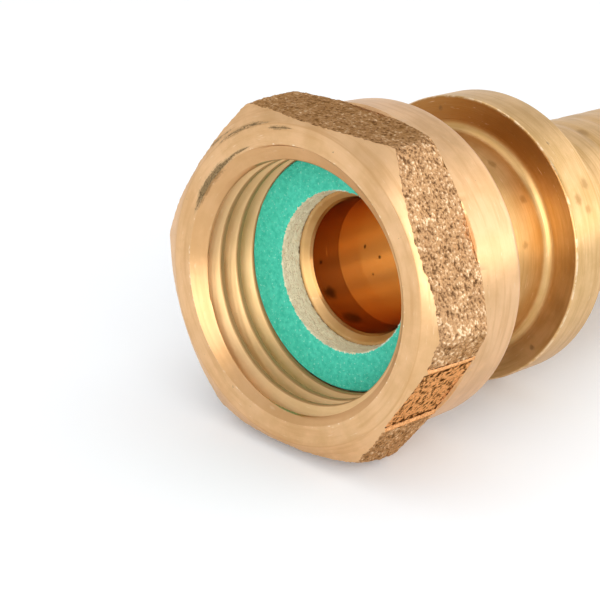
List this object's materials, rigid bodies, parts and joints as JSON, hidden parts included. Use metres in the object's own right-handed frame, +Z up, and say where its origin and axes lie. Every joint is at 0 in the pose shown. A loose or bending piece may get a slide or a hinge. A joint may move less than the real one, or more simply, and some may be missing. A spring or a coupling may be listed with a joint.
{
  "type": "axial press coupling with union nut",
  "caption": "Straight press-on pipe adaptor: a turned spigot with a stop collar takes the pipe, and a loose hexagon union nut on its tail draws a flat gasket onto a male thread.",
  "frame": {"origin": "centre of the collar's rear face, on the axis of the bore", "axes": "+X along the bore axis towards the spigot's tip; the nut's mouth faces -X; +Z up, at right angles to a flat of the nut"},
  "size_m": [0.0478, 0.0286, 0.0254],
  "materials": {
    "turned_bronze": "fine turned satin",
    "cast_bronze": "sand cast flats, turned edges",
    "gasket_fibre": "matt fibre sheet",
    "ring_steel": "drawn wire"
  },
  "bodies": {
    "body": {"fitting_body": "turned_bronze", "flat_gasket": "gasket_fibre"},
    "ring": {"snap_ring": "ring_steel"},
    "nut": {"union_nut": "cast_bronze"}
  },
  "joints": [
    {"name": "nut_slide", "type": "slide", "parent": "body", "child": "ring", "axis": [1, 0, 0], "range_m": [0, 0.0052]},
    {"name": "nut_spin", "type": "hinge", "parent": "ring", "child": "nut", "pos_m": [0, 0, 0], "axis": [1, 0, 0], "continuous": true}
  ]
}
